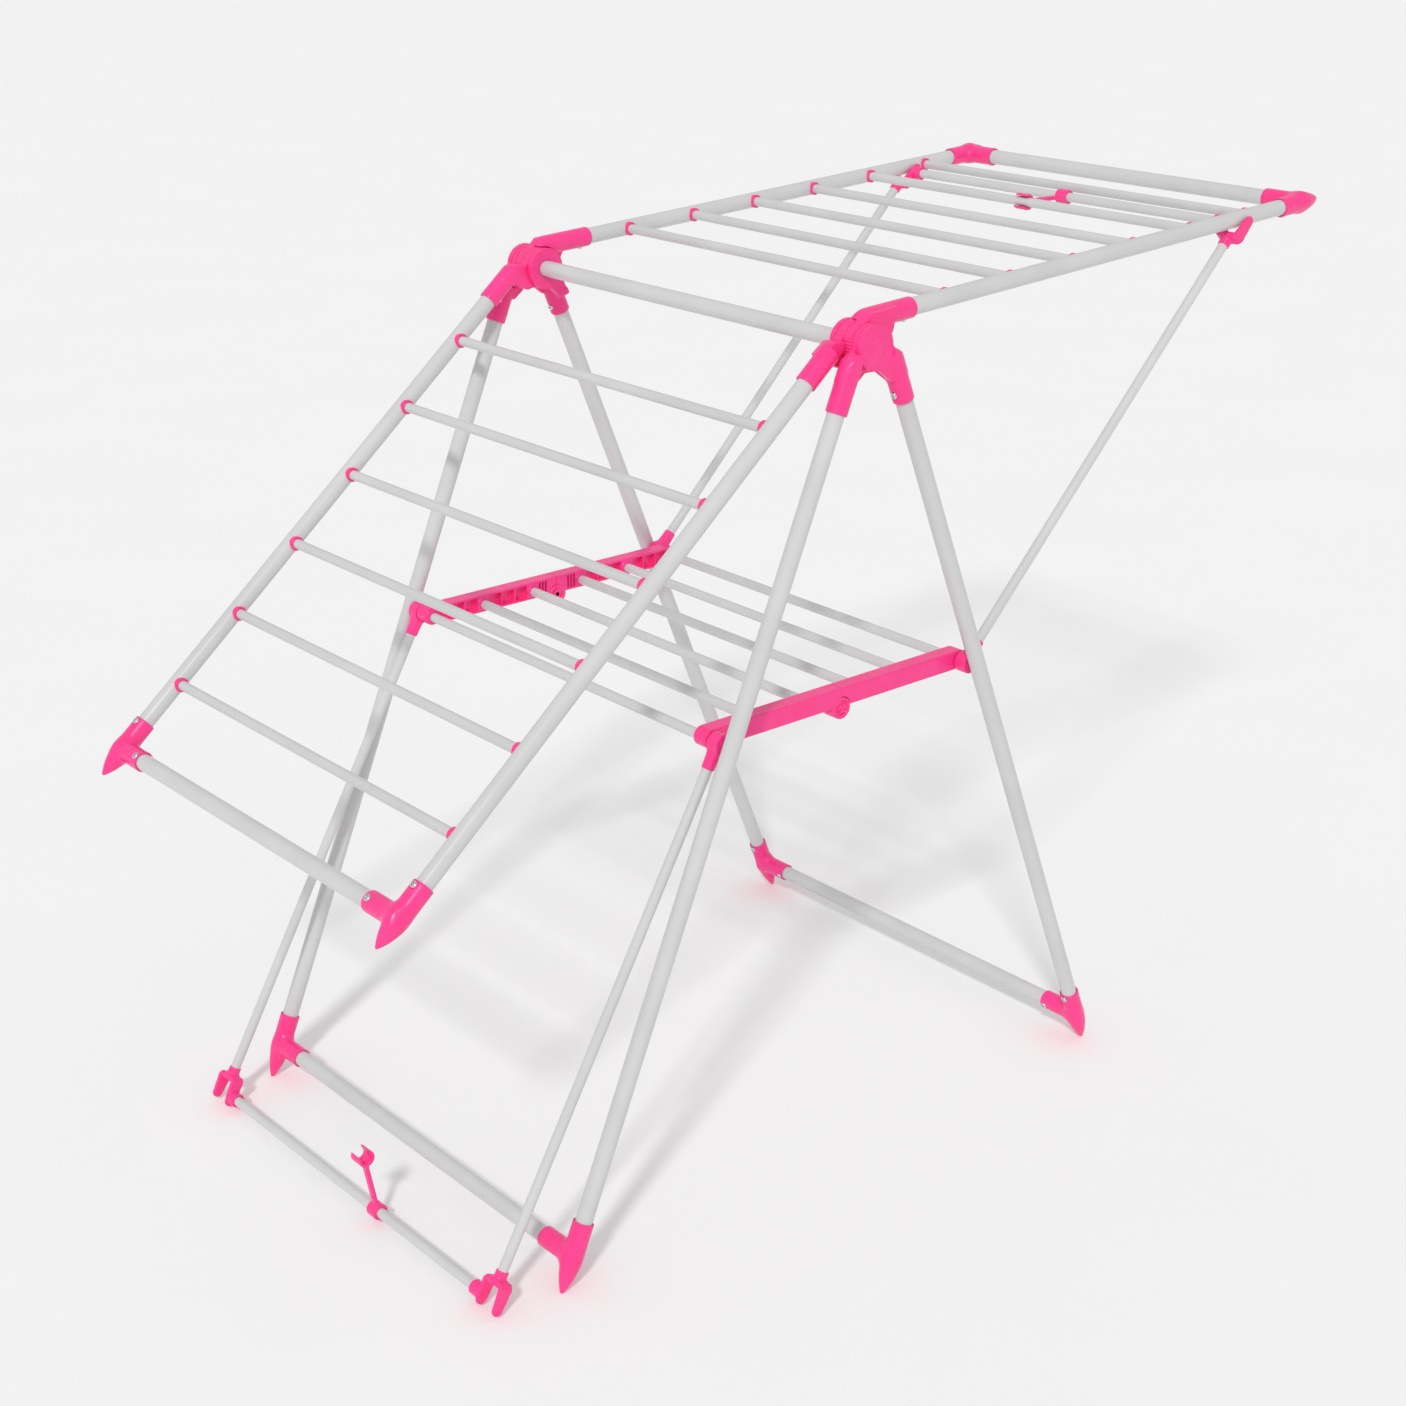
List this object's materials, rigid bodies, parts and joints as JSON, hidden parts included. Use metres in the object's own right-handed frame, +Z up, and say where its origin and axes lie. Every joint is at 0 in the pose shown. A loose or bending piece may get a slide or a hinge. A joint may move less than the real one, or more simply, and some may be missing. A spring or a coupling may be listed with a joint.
{
  "type": "clothes drying rack",
  "caption": "Folding floor-standing clothes drying rack with two hinged wings, A-frame legs, a folding rung shelf and swing-out wing supports.",
  "frame": {"origin": "on the floor, under the middle of the opened rack: midway along its full length and midway across", "axes": "+X along the raised wing, Y across the rack along the hub axis, +Z up"},
  "size_m": [1.2196, 0.535, 0.9032],
  "materials": {
    "white_steel": "gloss white powder coat on steel tube",
    "pink_plastic": "gloss moulded plastic, hot pink",
    "chrome_steel": "bright zinc and chrome plated fasteners"
  },
  "bodies": {
    "leg_frame_right": {"leg_tube_right_near": "white_steel", "leg_tube_right_far": "white_steel", "leg_bar_right": "white_steel", "foot_right_near": "pink_plastic", "foot_right_far": "pink_plastic", "leg_screws_right": "chrome_steel", "top_bar": "white_steel", "hub_axles": "chrome_steel", "hub_leg_right_near": "pink_plastic", "hub_leg_right_far": "pink_plastic", "shelf_bolts_right": "chrome_steel"},
    "leg_frame_left": {"leg_tube_left_near": "white_steel", "leg_tube_left_far": "white_steel", "leg_bar_left": "white_steel", "foot_left_near": "pink_plastic", "foot_left_far": "pink_plastic", "leg_screws_left": "chrome_steel", "hub_leg_left_near": "pink_plastic", "hub_leg_left_far": "pink_plastic", "shelf_bolts_left": "chrome_steel"},
    "wing_right": {"wing_tube_right_near": "white_steel", "wing_tube_right_far": "white_steel", "wing_bar_right": "white_steel", "wing_corner_right_near": "pink_plastic", "wing_corner_right_far": "pink_plastic", "wing_rungs_right": "white_steel", "wing_grommets_right": "pink_plastic", "wing_screws_right": "chrome_steel", "hub_wing_right_near": "pink_plastic", "hub_wing_right_far": "pink_plastic"},
    "support_right": {"support_rods_right": "white_steel", "support_eyes_right": "pink_plastic", "fork_right_near": "pink_plastic", "fork_right_far": "pink_plastic", "crossbar_right": "white_steel"},
    "clip_right": {"clip_right": "pink_plastic"},
    "wing_left": {"wing_tube_left_near": "white_steel", "wing_tube_left_far": "white_steel", "wing_bar_left": "white_steel", "wing_corner_left_near": "pink_plastic", "wing_corner_left_far": "pink_plastic", "wing_rungs_left": "white_steel", "wing_grommets_left": "pink_plastic", "wing_screws_left": "chrome_steel", "hub_wing_left_near": "pink_plastic", "hub_wing_left_far": "pink_plastic"},
    "support_left": {"support_rods_left": "white_steel", "support_eyes_left": "pink_plastic", "fork_left_near": "pink_plastic", "fork_left_far": "pink_plastic", "crossbar_left": "white_steel"},
    "clip_left": {"clip_left": "pink_plastic"},
    "shelf_right": {"shelf_rail_right_near": "pink_plastic", "shelf_rail_right_far": "pink_plastic", "shelf_rungs_right": "white_steel"},
    "shelf_left": {"shelf_rail_left_near": "pink_plastic", "shelf_rail_left_far": "pink_plastic", "shelf_rungs_left": "white_steel", "shelf_rivets": "pink_plastic"}
  },
  "joints": [
    {"name": "leg_fold", "type": "hinge", "parent": "leg_frame_right", "child": "leg_frame_left", "pos_m": [-0.0729, 0, 0.832], "axis": [0, -1, 0], "range_deg": [0, 45.2]},
    {"name": "wing_right_lift", "type": "hinge", "parent": "leg_frame_right", "child": "wing_right", "pos_m": [-0.0729, 0, 0.832], "axis": [0, -1, 0], "range_deg": [-43.6, 0]},
    {"name": "wing_left_lift", "type": "hinge", "parent": "leg_frame_left", "child": "wing_left", "pos_m": [-0.0729, 0, 0.832], "axis": [0, 1, 0], "range_deg": [0, 43.6]},
    {"name": "support_right_swing", "type": "hinge", "parent": "leg_frame_right", "child": "support_right", "pos_m": [0.08991, 0, 0.48903], "axis": [0, -1, 0], "range_deg": [-106.01, 0]},
    {"name": "support_left_swing", "type": "hinge", "parent": "leg_frame_left", "child": "support_left", "pos_m": [-0.2357, 0, 0.48903], "axis": [0, 1, 0], "range_deg": [0, 106.01]},
    {"name": "clip_right_turn", "type": "hinge", "parent": "support_right", "child": "clip_right", "pos_m": [0.47192, 0, 0.87913], "axis": [0, 1, 0], "range_deg": [-6.31, 0]},
    {"name": "clip_left_turn", "type": "hinge", "parent": "support_left", "child": "clip_left", "pos_m": [-0.50539, 0, 0.01428], "axis": [0, 1, 0], "range_deg": [0, 6.31]},
    {"name": "shelf_right_fold", "type": "hinge", "parent": "leg_frame_right", "child": "shelf_right", "pos_m": [0.08991, 0, 0.48903], "axis": [0, 1, 0], "range_deg": [0, 64.41]},
    {"name": "shelf_middle_fold", "type": "hinge", "parent": "shelf_right", "child": "shelf_left", "pos_m": [-0.0729, 0, 0.47903], "axis": [0, -1, 0], "range_deg": [0, 174.01]}
  ],
  "couplings": [
    {"joint": "support_right_swing", "follows": "wing_right_lift", "ratio": 2.4312},
    {"joint": "support_left_swing", "follows": "wing_left_lift", "ratio": 2.4312},
    {"joint": "clip_right_turn", "follows": "wing_right_lift", "ratio": 0.1445},
    {"joint": "clip_left_turn", "follows": "wing_left_lift", "ratio": 0.1445},
    {"joint": "shelf_right_fold", "follows": "leg_fold", "ratio": 1.4248},
    {"joint": "shelf_middle_fold", "follows": "leg_fold", "ratio": 3.8497}
  ]
}
